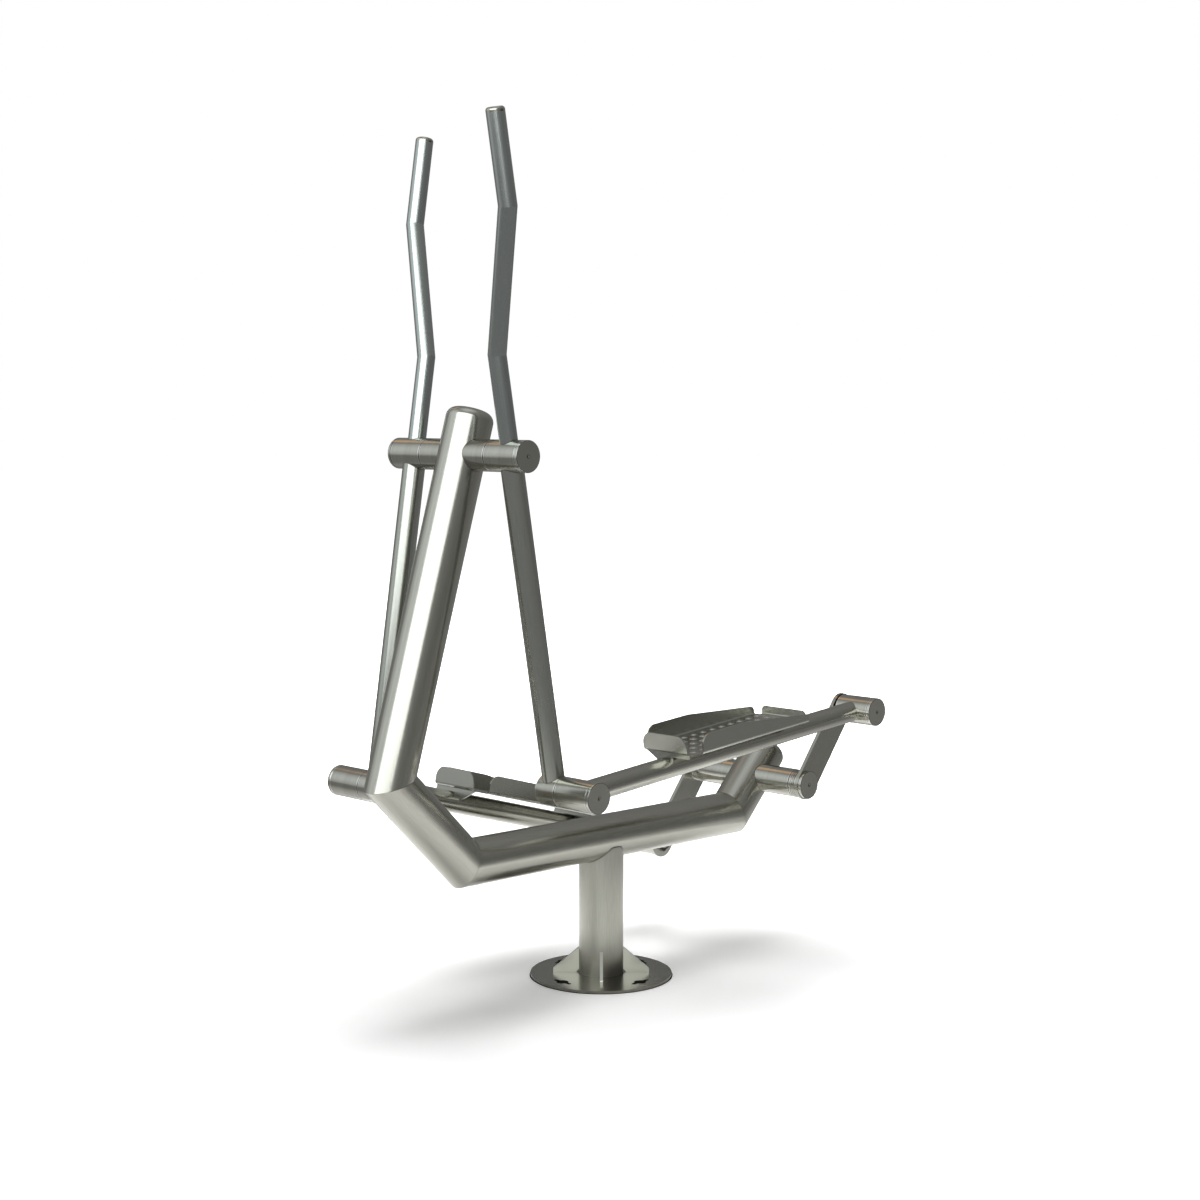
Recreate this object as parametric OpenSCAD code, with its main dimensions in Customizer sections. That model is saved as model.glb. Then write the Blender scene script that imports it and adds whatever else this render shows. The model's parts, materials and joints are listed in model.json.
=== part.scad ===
// Outdoor elliptical stepper on one post, in stainless tube.
// The origin is the middle of the base plate's underside.
// +X points to the mast, the way the user faces, +Y to the user's left and +Z up.
// Points in the plane of the frame are [x, z], and angles there run from +X towards +Z.

/* [Base] */
// Diameter of the round base plate
base_d = 283; // [260:1:340]
// Thickness of the base plate
base_t = 6; // [5:0.5:12]
// Diameter of the circle through the anchor holes
anchor_circle_d = 216; // [200:1:230]
// Diameter of each round anchor hole
anchor_hole_d = 24; // [20:1:28]
// End to end length of the adjusting slot through each anchor hole
anchor_slot_l = 46; // [40:1:60]
// Width of the adjusting slot
anchor_slot_w = 8.5; // [6:0.5:9]
// Thickness of a gusset between the post and the base plate
gusset_t = 6; // [4:0.5:10]
// Height of a gusset above the base plate
gusset_h = 51; // [40:1:80]
// Reach of a gusset from the middle of the post
gusset_reach = 96; // [80:1:120]
// Height of a gusset at its outer end
gusset_toe_h = 7; // [4:0.5:12]
// Size of the notch in a gusset's inner lower corner
gusset_notch = 6; // [3:0.5:10]

/* [Frame tubes] */
// Outer diameter of the post, beam, mast and rear upright
tube_d = 88.9; // [76:0.1:102]
// Wall of those tubes
tube_wall = 3.2; // [2:0.1:5]
// Forward place of the beam's front corner
beam_front_x = 367; // [330:1:420]
// Height of the beam's front corner
beam_front_z = 284.6; // [260:0.1:320]
// Backward place of the beam's rear corner
beam_rear_x = 387; // [350:1:430]
// Height of the beam's rear corner
beam_rear_z = 275.5; // [250:0.1:310]
// How far the post stops below the beam's middle line
post_ear_drop = 15; // [8:0.5:20]
// Forward place of the foot of the mast
mast_foot_x = 541.3; // [500:0.1:580]
// Height of the foot of the mast
mast_foot_z = 458.7; // [430:0.1:490]
// Length of the mast's middle line with its cap
mast_l = 697; // [670:1:740]
// Backward lean of the mast
mast_lean = 16.6; // [14:0.1:19]
// Length of the rear upright's middle line with its cap
rear_tube_l = 180; // [165:1:200]
// Rise of the rear upright above level
upright_rise = 45.8; // [42:0.1:50]
// Length of a tube end cap outside its tube
cap_l = 22; // [20:0.5:26]
// Length of the plug of an end cap inside its tube
cap_plug_l = 14; // [8:0.5:20]
// Radius of the rounded edge of an end cap
cap_edge_r = 18.5; // [8:0.5:19]

/* [Axles] */
// Outer diameter of every hub and axle housing
hub_d = 58.6; // [54:0.1:64]
// Wall of the hubs and housings
hub_wall = 4.5; // [3:0.1:6]
// Chamfer at the ends of hubs, housings and caps
hub_edge = 0.7; // [0.5:0.1:2]
// Diameter of the handle axle and the crank shaft
shaft_d = 30; // [25:0.5:35]
// Diameter of the crank pins and the lever foot pins
pin_d = 25; // [20:0.5:30]
// Distance of the handle axle below the top of the mast
handle_axle_drop = 84.8; // [70:0.1:110]
// Half the length of the housing in the mast
handle_housing_half = 88; // [80:0.5:95]
// Distance of the crank shaft below the top of the rear upright
crank_axle_drop = 81.7; // [68:0.1:90]
// Half the length of the housing in the rear upright
crank_housing_half = 127; // [118:0.5:132]
// Width of a shaft bearing
bearing_w = 16; // [12:0.5:20]
// Length of a hub end cap
hub_cap_l = 7.4; // [5:0.1:10]
// Diameter of the centre mark in a hub end cap
centre_mark_d = 5; // [3:0.5:8]

/* [Crank] */
// Radius of the crank
crank_r = 191.7; // [170:0.1:205]
// Angle of the left crank at rest
crank_angle = 128.2; // [110:0.1:145]
// Thickness of a crank plate
crank_plate_t = 8; // [6:0.5:10]
// How far the crank pin is set back in a crank plate, as a share of the plate's thickness
pin_inset_share = 0.6; // [0.3:0.05:0.7]
// Width of a crank plate
crank_plate_w = 62; // [60:0.5:66]
// Length of the boss ring between the housing and a crank plate
crank_boss_l = 18.4; // [14:0.1:24]
// Height of the ridges round a boss ring
boss_ridge_h = 1.4; // [0.4:0.1:2]

/* [Hand levers] */
// Distance from the handle axle to the lever's foot hub
lever_l = 630.3; // [610:0.1:650]
// Outer diameter of the lever's lower tube
lever_lower_d = 42.4; // [38:0.1:46]
// Outer diameter of the lever's upper tube
lever_upper_d = 33.9; // [30:0.1:38]
// Wall of the lever tubes
lever_wall = 2.6; // [1.5:0.1:4]
// Length of the lever's top hub with its cap
lever_hub_l = 88.5; // [80:0.5:96]
// Length of the lever's foot hub
lever_foot_hub_l = 49.6; // [44:0.1:54]
// Distance of the first bend from the handle axle
bend_low_s = 182.5; // [160:0.5:200]
// Distance of the second bend from the handle axle
bend_high_s = 437.5; // [410:0.5:460]
// Distance of the grip's end from the handle axle
grip_end_s = 605; // [580:1:640]
// Outward step of the grip beyond the lower tube
grip_step = 77; // [60:1:90]
// Length of the grip's end cap outside its tube
grip_cap_l = 9; // [8:0.5:14]
// Radius of the rounded edge of the grip's end cap
grip_cap_edge_r = 6; // [4:0.5:8]

/* [Foot arms] */
// Distance between the two hubs of a foot arm
arm_l = 832.5; // [815:0.1:850]
// Outer diameter of the foot arm tube
arm_d = 42.4; // [38:0.1:46]
// Wall of the foot arm tube
arm_wall = 2.6; // [1.5:0.1:4]
// Length of a foot arm hub with its cap
arm_hub_l = 88.8; // [84:0.1:94]
// Distance of the foot arm tube's middle from the inner end of its hubs
arm_offset = 35.4; // [30:0.1:46]

/* [Footplates] */
// Length of a footplate over its toe and heel guards
tray_l = 357; // [330:1:370]
// Width of a footplate over its side guards
tray_w = 148; // [140:1:160]
// Distance of the heel guard from the crank pin
tray_heel_s = 235.2; // [232:0.1:250]
// Inward shift of the footplate's middle from the foot arm
tray_shift = 3; // [0:0.5:6]
// Gap between the foot arm tube and the footplate
tray_gap = 7; // [5:0.5:10]
// Sheet thickness of a footplate
tray_t = 3; // [2:0.1:4]
// Outer radius of the bends in a footplate
tray_bend_r = 7; // [5:0.5:9]
// Height of the side guards at their front half
guard_h = 39; // [34:0.5:46]
// Height of the side guards at their rear end
guard_rear_h = 18; // [14:0.5:24]
// Open corner between the toe guard and a side guard
guard_front_gap = 28; // [22:0.5:34]
// Open corner between the heel guard and a side guard
guard_rear_gap = 10; // [8:0.5:16]
// Length of the level stretch of a side guard
guard_level_l = 120; // [90:1:150]
// Radius of a side guard's front corner
guard_front_r = 22; // [14:0.5:28]
// Radius of a side guard's rear corner
guard_rear_r = 11; // [6:0.5:13]
// Height of the toe guard
toe_h = 38; // [32:0.5:46]
// Width of the toe and heel guards
toe_w = 113; // [104:1:122]
// Outward lean of the toe guard
toe_lean = 7.5; // [0:0.5:15]
// Radius of the toe guard's corners
toe_corner_r = 25; // [15:0.5:28]
// Height of the heel guard
heel_h = 20; // [16:0.5:26]
// Radius of the heel guard's corners
heel_corner_r = 9; // [5:0.5:11]
// Spacing of the raised studs along the tread
stud_pitch = 28; // [24:0.5:32]
// Spacing of the rows of studs across the tread
stud_row_pitch = 25.5; // [22:0.5:30]
// Diameter of a stud at its foot
stud_d = 18; // [13:0.5:20]
// Diameter of the ring on top of a stud
stud_top_d = 11.5; // [10:0.5:14]
// Diameter of the dish in a stud
stud_dish_d = 9; // [6:0.5:10]
// Height of a stud
stud_h = 2; // [1:0.1:3]
// Clear border of the tread inside the guards
tread_border = 13.5; // [12:0.5:20]
// Thickness of a footplate bracket
bracket_t = 4; // [3:0.5:6]
// Reach of a footplate bracket's inner foot from the middle of the arm
bracket_foot_reach = 25.5; // [23:0.5:30]
// Height of that foot above the middle of the arm
bracket_foot_z = 8; // [4:0.5:14]
// Height of a footplate bracket on the outer side of the arm
bracket_lip_h = 8.5; // [7.5:0.5:12]

/* [Clearances] */
// Radial clearance of a turning fit
turn_gap = 0.05; // [0.02:0.01:0.1]
// Clearance round a welded or pressed joint
weld_gap = 0.05; // [0.02:0.01:0.1]
// Gap between the end faces of a turning hub and its neighbour
face_gap = 1; // [0.6:0.1:1.4]
// Gap between a crank plate and the foot arm hub
crank_gap = 2.6; // [2:0.1:3.5]

/* [Hidden] */
$fn = 64;

// Past the surface, for clean cuts
overrun = tube_wall;
// Longer than any tube, for cutting planes
reach = mast_l + arm_l;
// Flat sides that make up a bent tube
bent_tube_sides = 48;

tube_r = tube_d / 2;
hub_r = hub_d / 2;
hub_bore_d = hub_d - 2 * hub_wall;
bearing_d = hub_bore_d - 2 * weld_gap;
shaft_bore_d = shaft_d + 2 * turn_gap;
pin_bore_d = pin_d + 2 * turn_gap;

// Corners of the frame
front_corner = [beam_front_x, beam_front_z];
rear_corner = [-beam_rear_x, beam_rear_z];
mast_foot = [mast_foot_x, mast_foot_z];
mast_angle = 90 + mast_lean;
upright_angle = 180 - upright_rise;
beam_angle = heading(rear_corner, front_corner);
knee_angle = heading(front_corner, mast_foot);

// Axles of the frame
handle_axle = along(mast_foot, mast_angle, mast_l - handle_axle_drop);
crank_axle = along(rear_corner, upright_angle, rear_tube_l - crank_axle_drop);

// Places along Y, counted outwards from the frame's plane
crank_plate_y = crank_housing_half + face_gap + crank_boss_l;
arm_hub_y = crank_plate_y + crank_plate_t + crank_gap;
arm_y = arm_hub_y + arm_offset;
lever_hub_y = handle_housing_half + face_gap;
lever_foot_y = arm_hub_y - face_gap - lever_foot_hub_l;
lever_y = lever_foot_y + lever_foot_hub_l / 2;
tray_y = arm_y - tray_shift;
pin_l = arm_hub_l - hub_cap_l - face_gap;
crank_cap_l = hub_cap_l;

// Footplate in the arm's own directions, with its middle line at zero
tray_floor_z = arm_d / 2 + tray_gap;
tray_toe_s = tray_heel_s + tray_l;
guard_start = guard_rear_gap;
guard_end = tray_l - guard_front_gap;
stud_columns = floor((tray_l - 2 * tread_border - stud_d) / stud_pitch) + 1;
stud_rows = floor((tray_w - 2 * tread_border - stud_d) / stud_row_pitch) + 1;

// Direction from p to q
function heading(p, q) = atan2(q.y - p.y, q.x - p.x);

// The point a distance s from p in direction a
function along(p, a, s) = p + s * [cos(a), sin(a)];

// The lower point that lies a from p and b from q
function linked(p, a, q, b) =
    let (
        d = norm(q - p),
        u = (q - p) / d,
        s = (a * a - b * b + d * d) / (2 * d),
        h = sqrt(a * a - s * s)
    )
    p + s * u + h * [-u.y, u.x];

// Angle of one side's crank at rest
function crank_turn(side) = side == "left" ? crank_angle : crank_angle - 180;

// Middle of one side's crank pin, of its lever's foot hub, and the directions between them
function crank_pin_at(side) = along(crank_axle, crank_turn(side), crank_r);
function lever_foot_at(side) = linked(handle_axle, lever_l, crank_pin_at(side), arm_l);
function lever_angle(side) = heading(lever_foot_at(side), handle_axle);
function arm_angle(side) = heading(crank_pin_at(side), lever_foot_at(side));

// An outline with the corner at each point rounded to the radius beside it
function rounded(points, radii, steps = 10) =
    let (n = len(points))
    [for (i = [0 : n - 1])
        let (
            p = points[i],
            before = (points[(i + n - 1) % n] - p) / norm(points[(i + n - 1) % n] - p),
            after = (points[(i + 1) % n] - p) / norm(points[(i + 1) % n] - p),
            half = acos(before * after) / 2,
            middle = p + (before + after) / norm(before + after) * radii[i] / sin(half),
            turn = 180 - 2 * half,
            start = heading(middle, p + before * radii[i] / tan(half))
        )
        each radii[i] == 0 ? [p] : [for (k = [0 : steps]) along(middle, start + turn * k / steps, radii[i])]
    ];

// Steel as photographed, with darker steel for what turns inside
module steel() {
    color([0.62, 0.62, 0.59]) children();
}

module dark_steel() {
    color([0.42, 0.42, 0.41]) children();
}

// Moves its children to p in the frame's plane, with their X along angle a
module in_plane(p, a) {
    translate([p.x, 0, p.y]) rotate([0, -a, 0]) children();
}

// Draws its children on the left or mirrored to the right
module on_side(side) {
    if (side == "left") {
        children();
    } else {
        mirror([0, 1, 0]) children();
    }
}

// Moves its children to p, with their Z along Y from the distance y
module across(p, y) {
    translate([p.x, y, p.y]) rotate([-90, 0, 0]) children();
}

// A round bar with chamfered ends
module turned(d, l, chamfer = 0) {
    rotate_extrude()
        polygon([
            [0, 0],
            [d / 2 - chamfer, 0],
            [d / 2, chamfer],
            [d / 2, l - chamfer],
            [d / 2 - chamfer, l],
            [0, l]
        ]);
}

// A sleeve with chamfered outer edges
module sleeve(d, bore, l, chamfer = 0) {
    difference() {
        turned(d, l, chamfer);
        translate([0, 0, -overrun]) cylinder(h = l + 2 * overrun, d = bore);
    }
}

// A tube along X from the distance s to the distance e
module tube_x(s, e, d, wall) {
    translate([s, 0, 0]) rotate([0, 90, 0]) {
        difference() {
            cylinder(h = e - s, d = d);
            translate([0, 0, -overrun]) cylinder(h = e - s + 2 * overrun, d = d - 2 * wall);
        }
    }
}

// Everything on the far side of the mitre between a tube in direction a and its neighbour
module beyond_mitre(p, a, neighbour) {
    middle = (a + neighbour) / 2;
    in_plane(p, middle)
        translate([-reach, -reach, sin(neighbour - middle) > 0 ? 0 : -reach])
            cube([2 * reach, 2 * reach, reach]);
}

// A plain disc with a rounded outer edge, closing a tube, with its plug below zero
module domed_cap(d, wall, l, edge, plug) {
    steel() {
        rotate_extrude() {
            square([d / 2 - edge, l]);
            square([d / 2, l - edge]);
            translate([d / 2 - edge, l - edge]) intersection() {
                circle(r = edge);
                square([edge, edge]);
            }
        }
        translate([0, 0, -plug]) cylinder(h = plug, d = d - 2 * wall - 2 * weld_gap);
    }
}

// A hub end cap with a centre mark
module end_disc(l) {
    steel() difference() {
        turned(hub_d, l, hub_edge);
        translate([0, 0, l - centre_mark_d / 2]) cylinder(h = centre_mark_d, d1 = 0, d2 = 2 * centre_mark_d);
    }
}

module base_plate() {
    steel() difference() {
        cylinder(h = base_t, d = base_d);
        for (i = [0 : 3]) rotate([0, 0, 90 * i]) translate([anchor_circle_d / 2, 0, -overrun]) {
            cylinder(h = base_t + 2 * overrun, d = anchor_hole_d);
            anchor_slot();
        }
    }
}

// The adjusting slot through an anchor hole, along the plate's rim
module anchor_slot() {
    run = anchor_slot_l - anchor_slot_w;
    translate([-anchor_slot_w / 2, -run / 2, 0]) cube([anchor_slot_w, run, base_t + 2 * overrun]);
    for (end = [-1, 1]) translate([0, end * run / 2, 0]) cylinder(h = base_t + 2 * overrun, d = anchor_slot_w);
}

// A triangular gusset, a quarter turn from its neighbours
module gusset(i) {
    outline = rounded(
        [[0, 0], [gusset_reach, 0], [gusset_reach, gusset_toe_h], [tube_r, gusset_h], [0, gusset_h]],
        [0, 0, gusset_toe_h / 2, 0, 0]
    );
    steel() difference() {
        rotate([0, 0, 45 + 90 * i]) translate([0, gusset_t / 2, base_t]) rotate([90, 0, 0])
            linear_extrude(gusset_t) polygon(outline);
        cylinder(h = base_t + gusset_h + overrun, d = tube_d + 2 * weld_gap);
        translate([0, 0, base_t - overrun])
            cylinder(h = gusset_notch + overrun, r1 = tube_r + gusset_notch + overrun, r2 = tube_r);
    }
}

// The post, with its top cut to fit round the beam
module post() {
    top = (beam_front_z + beam_rear_z) / 2 - post_ear_drop;
    steel() difference() {
        translate([0, 0, base_t]) cylinder(h = top - base_t, d = tube_d);
        translate([0, 0, base_t - overrun]) cylinder(h = top, d = tube_d - 2 * tube_wall);
        in_plane(rear_corner, beam_angle) rotate([0, 90, 0])
            cylinder(h = norm(front_corner - rear_corner), d = tube_d + 2 * weld_gap);
    }
}

module main_beam() {
    l = norm(front_corner - rear_corner);
    steel() difference() {
        in_plane(rear_corner, beam_angle) tube_x(-tube_d, l + tube_d, tube_d, tube_wall);
        beyond_mitre(rear_corner, beam_angle, upright_angle);
        beyond_mitre(front_corner, beam_angle + 180, knee_angle);
    }
}

module front_tube() {
    l = norm(mast_foot - front_corner);
    steel() difference() {
        in_plane(front_corner, knee_angle) tube_x(-tube_d, l + tube_d, tube_d, tube_wall);
        beyond_mitre(front_corner, knee_angle, beam_angle + 180);
        beyond_mitre(mast_foot, knee_angle + 180, mast_angle);
    }
}

// The leaning mast, with a hole for the handle axle's housing
module mast() {
    steel() difference() {
        in_plane(mast_foot, mast_angle) tube_x(-tube_d, mast_l - cap_l, tube_d, tube_wall);
        beyond_mitre(mast_foot, mast_angle, knee_angle + 180);
        across(handle_axle, -tube_d) cylinder(h = 2 * tube_d, d = hub_d + 2 * weld_gap);
    }
}

module mast_cap() {
    in_plane(mast_foot, mast_angle) translate([mast_l - cap_l, 0, 0]) rotate([0, 90, 0])
        domed_cap(tube_d, tube_wall, cap_l, cap_edge_r, cap_plug_l);
}

// The short rear upright, with a hole for the crank's housing
module rear_upright() {
    steel() difference() {
        in_plane(rear_corner, upright_angle) tube_x(-tube_d, rear_tube_l - cap_l, tube_d, tube_wall);
        beyond_mitre(rear_corner, upright_angle, beam_angle);
        across(crank_axle, -tube_d) cylinder(h = 2 * tube_d, d = hub_d + 2 * weld_gap);
    }
}

module rear_upright_cap() {
    in_plane(rear_corner, upright_angle) translate([rear_tube_l - cap_l, 0, 0]) rotate([0, 90, 0])
        domed_cap(tube_d, tube_wall, cap_l, cap_edge_r, cap_plug_l);
}

module handle_axle_housing() {
    steel() across(handle_axle, -handle_housing_half) sleeve(hub_d, hub_bore_d, 2 * handle_housing_half, hub_edge);
}

// The fixed axle of both levers, with a collar in each end of its housing
module handle_axle() {
    half = lever_hub_y + lever_hub_l - hub_cap_l - face_gap;
    dark_steel() {
        across(handle_axle, -half) turned(shaft_d, 2 * half, hub_edge);
        for (y = [-handle_housing_half, handle_housing_half - bearing_w])
            across(handle_axle, y) turned(bearing_d, bearing_w, hub_edge);
    }
}

module crank_housing() {
    steel() across(crank_axle, -crank_housing_half) sleeve(hub_d, hub_bore_d, 2 * crank_housing_half, hub_edge);
}

module crank_bearing(side) {
    dark_steel() on_side(side) across(crank_axle, crank_housing_half - bearing_w)
        sleeve(bearing_d, shaft_bore_d, bearing_w, hub_edge / 2);
}

module crank_shaft() {
    half = crank_plate_y + crank_plate_t;
    dark_steel() across(crank_axle, -half) turned(shaft_d, 2 * half);
}

// A ring with fine ridges, clamped between the bearing and the crank plate
module crank_boss(side) {
    ridge_w = crank_boss_l / 5;
    steel() on_side(side) across(crank_axle, crank_housing_half + face_gap) difference() {
        union() {
            turned(hub_d - 2 * boss_ridge_h, crank_boss_l);
            for (k = [0 : 3]) translate([0, 0, k * (crank_boss_l - ridge_w) / 3])
                turned(hub_d, ridge_w, boss_ridge_h / 2);
        }
        translate([0, 0, -overrun]) cylinder(h = crank_boss_l + 2 * overrun, d = shaft_d + 2 * weld_gap);
    }
}

// A flat bar with round ends, bored for the shaft and for the crank pin
module crank_plate(side) {
    steel() on_side(side) in_plane(crank_axle, crank_turn(side)) translate([0, crank_plate_y, 0])
        rotate([-90, 0, 0]) difference() {
            union() {
                translate([0, -crank_plate_w / 2, 0]) cube([crank_r, crank_plate_w, crank_plate_t]);
                cylinder(h = crank_plate_t, d = crank_plate_w);
                translate([crank_r, 0, 0]) cylinder(h = crank_plate_t, d = crank_plate_w);
            }
            translate([0, 0, -overrun]) cylinder(h = crank_plate_t + 2 * overrun, d = shaft_d + 2 * weld_gap);
            translate([crank_r, 0, -overrun]) cylinder(h = crank_plate_t + 2 * overrun, d = pin_d + 2 * weld_gap);
        }
}

module crank_cap(side) {
    on_side(side) across(crank_axle, crank_plate_y + crank_plate_t) end_disc(crank_cap_l);
}

// The pin that carries the foot arm, set back in the crank plate's bore
module crank_pin(side) {
    inset = crank_plate_t * pin_inset_share;
    dark_steel() on_side(side) across(crank_pin_at(side), crank_plate_y + inset)
        turned(pin_d, crank_plate_t - inset + crank_gap + pin_l, hub_edge);
}

// Moves its children to the handle axle, with their X up along the lever
module on_lever(side) {
    on_side(side) in_plane(handle_axle, lever_angle(side)) children();
}

module lever_hub(side) {
    steel() on_side(side) across(handle_axle, lever_hub_y)
        sleeve(hub_d, hub_bore_d, lever_hub_l - hub_cap_l, hub_edge);
}

module lever_hub_cap(side) {
    on_side(side) across(handle_axle, lever_hub_y + lever_hub_l - hub_cap_l) end_disc(hub_cap_l);
}

module lever_bush(side) {
    dark_steel() on_side(side) across(handle_axle, lever_hub_y)
        sleeve(bearing_d, shaft_bore_d, lever_hub_l - hub_cap_l - face_gap, hub_edge / 2);
}

module lever_lower_tube(side) {
    steel() difference() {
        on_lever(side) translate([0, lever_y, 0]) tube_x(-lever_l, 0, lever_lower_d, lever_wall);
        on_side(side) across(handle_axle, lever_hub_y) cylinder(h = lever_hub_l, d = hub_d + 2 * weld_gap);
        on_side(side) across(lever_foot_at(side), lever_foot_y)
            cylinder(h = lever_foot_hub_l, d = hub_d + 2 * weld_gap);
    }
}

// The ring of radius r round point i of a bent tube's [along, outwards] points, in its mitre plane
function mitre_ring(points, i, r) =
    let (
        last = len(points) - 1,
        before = heading(points[max(i - 1, 0)], points[max(i, 1)]),
        after = heading(points[min(i, last - 1)], points[min(i + 1, last)]),
        across_bend = (before + after) / 2 + 90
    )
    [for (k = [0 : bent_tube_sides - 1])
        let (
            turn = 360 * k / bent_tube_sides,
            p = along(points[i], across_bend, r * cos(turn) / cos((after - before) / 2))
        )
        [p.x, p.y, r * sin(turn)]
    ];

// A tube through points, with sharp mitred bends and open ends
module bent_tube(points, d, wall) {
    n = bent_tube_sides;
    rings = len(points);
    outer = [for (i = [0 : rings - 1]) each mitre_ring(points, i, d / 2)];
    inner = [for (i = [0 : rings - 1]) each mitre_ring(points, i, d / 2 - wall)];
    m = n * rings;
    last = m - n;
    polyhedron(
        points = concat(outer, inner),
        faces = concat(
            [for (i = [0 : rings - 2], k = [0 : n - 1])
                [i * n + k, i * n + (k + 1) % n, (i + 1) * n + (k + 1) % n, (i + 1) * n + k]],
            [for (i = [0 : rings - 2], k = [0 : n - 1])
                [m + (i + 1) * n + k, m + (i + 1) * n + (k + 1) % n, m + i * n + (k + 1) % n, m + i * n + k]],
            [for (k = [0 : n - 1]) [m + k, m + (k + 1) % n, (k + 1) % n, k]],
            [for (k = [0 : n - 1]) [last + k, last + (k + 1) % n, m + last + (k + 1) % n, m + last + k]]
        )
    );
}

// The thinner tube above the hub, which steps outwards to the grip
module lever_upper_tube(side) {
    foot = [0, lever_y];
    low = [bend_low_s, lever_y];
    high = [bend_high_s, lever_y + grip_step];
    top = [grip_end_s - grip_cap_l, lever_y + grip_step];
    steel() difference() {
        on_lever(side) bent_tube([foot, low, high, top], lever_upper_d, lever_wall);
        on_side(side) across(handle_axle, lever_hub_y) cylinder(h = lever_hub_l, d = hub_d + 2 * weld_gap);
    }
}

module grip_cap(side) {
    on_lever(side) translate([grip_end_s - grip_cap_l, lever_y + grip_step, 0]) rotate([0, 90, 0])
        domed_cap(lever_upper_d, lever_wall, grip_cap_l, grip_cap_edge_r, grip_cap_l);
}

// The hub at the lever's foot, beside the foot arm's front hub
module lever_foot_hub(side) {
    steel() on_side(side) across(lever_foot_at(side), lever_foot_y)
        sleeve(hub_d, hub_bore_d, lever_foot_hub_l, hub_edge);
}

// The pin with its two bearing discs, which ends inside the foot hub
module lever_foot_pin(side) {
    l = lever_foot_hub_l - 2 * hub_edge;
    dark_steel() on_side(side) across(lever_foot_at(side), lever_foot_y + hub_edge) {
        turned(pin_d, l);
        turned(bearing_d, bearing_w, hub_edge);
        translate([0, 0, l - bearing_w]) turned(bearing_d, bearing_w, hub_edge);
    }
}

// Moves its children to the crank pin, with their X forwards along the foot arm
module on_arm(side) {
    on_side(side) in_plane(crank_pin_at(side), arm_angle(side)) children();
}

module arm_tube(side) {
    steel() difference() {
        on_arm(side) translate([0, arm_y, 0]) tube_x(0, arm_l, arm_d, arm_wall);
        on_side(side) for (p = [crank_pin_at(side), lever_foot_at(side)])
            across(p, arm_hub_y) cylinder(h = arm_hub_l, d = hub_d + 2 * weld_gap);
    }
}

module arm_hub(side, p) {
    steel() on_side(side) across(p, arm_hub_y) sleeve(hub_d, hub_bore_d, arm_hub_l - hub_cap_l, hub_edge);
}

module arm_cap(side, p) {
    on_side(side) across(p, arm_hub_y + arm_hub_l - hub_cap_l) end_disc(hub_cap_l);
}

module arm_front_hub(side) {
    arm_hub(side, lever_foot_at(side));
}

// The front cap, with a plug that fills the outer end of its hub
module arm_front_cap(side) {
    arm_cap(side, lever_foot_at(side));
    steel() on_side(side) across(lever_foot_at(side), arm_hub_y + face_gap) {
        turned(pin_d, arm_hub_l - hub_cap_l - face_gap);
        turned(bearing_d, bearing_w, hub_edge);
    }
}

module arm_rear_hub(side) {
    arm_hub(side, crank_pin_at(side));
}

module arm_rear_cap(side) {
    arm_cap(side, crank_pin_at(side));
}

module arm_bush(side) {
    dark_steel() on_side(side) across(crank_pin_at(side), arm_hub_y)
        sleeve(bearing_d, pin_bore_d, arm_hub_l - hub_cap_l - face_gap, hub_edge / 2);
}

// Points on an arc about c from the angle a to the angle b
function arc(c, r, a, b, steps = 10) = [for (k = [0 : steps]) along(c, a + (b - a) * k / steps, r)];

// A bend and an upright along Y, with the outer face at X zero and the floor's underside at Z zero
module bent_edge(h, l, lean) {
    bend = [-tray_bend_r, tray_bend_r];
    rise = (h - tray_bend_r) / cos(lean);
    inner = arc(bend, tray_bend_r - tray_t, -lean, -90);
    outer = arc(bend, tray_bend_r, -90, -lean);
    outline = concat(
        [along(outer[len(outer) - 1], 90 - lean, rise), along(inner[0], 90 - lean, rise)],
        inner,
        [bend + [-tray_t, tray_t - tray_bend_r], bend + [-tray_t, -tray_bend_r]],
        outer
    );
    translate([0, l / 2, 0]) rotate([90, 0, 0]) linear_extrude(l) polygon(outline);
}

// The cross guard at the toe or heel, with rounded upper corners
module cross_guard(h, lean, corner) {
    outline = rounded(
        [[-toe_w / 2, 0], [toe_w / 2, 0], [toe_w / 2, h], [-toe_w / 2, h]],
        [0, 0, corner, corner]
    );
    intersection() {
        bent_edge(h, toe_w, lean);
        translate([-tray_w, 0, 0]) rotate([90, 0, 90]) linear_extrude(2 * tray_w) polygon(outline);
    }
}

// A side guard with its outer face at Y zero, level at the front and falling to the rear
module side_guard() {
    l = guard_end - guard_start;
    outline = rounded(
        [[0, 0], [l, 0], [l, guard_h], [l - guard_level_l, guard_h], [0, guard_rear_h]],
        [0, 0, guard_front_r, 0, guard_rear_r]
    );
    intersection() {
        translate([guard_start + l / 2, 0, 0]) rotate([0, 0, 90]) bent_edge(guard_h, l, 0);
        translate([guard_start, tray_w / 2, 0]) rotate([90, 0, 0]) linear_extrude(tray_w) polygon(outline);
    }
}

// The tread's floor, with its open corners cut off
module tray_floor() {
    side = tray_w / 2 - tray_bend_r;
    end = tray_l - tray_bend_r;
    half = toe_w / 2;
    half_floor = [
        [tray_bend_r, half],
        [guard_start, side],
        [guard_end, side],
        [end, half]
    ];
    outline = concat([for (p = half_floor) p], [for (i = [3 : -1 : 0]) [half_floor[i].x, -half_floor[i].y]]);
    linear_extrude(tray_t) polygon(outline);
}

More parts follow.
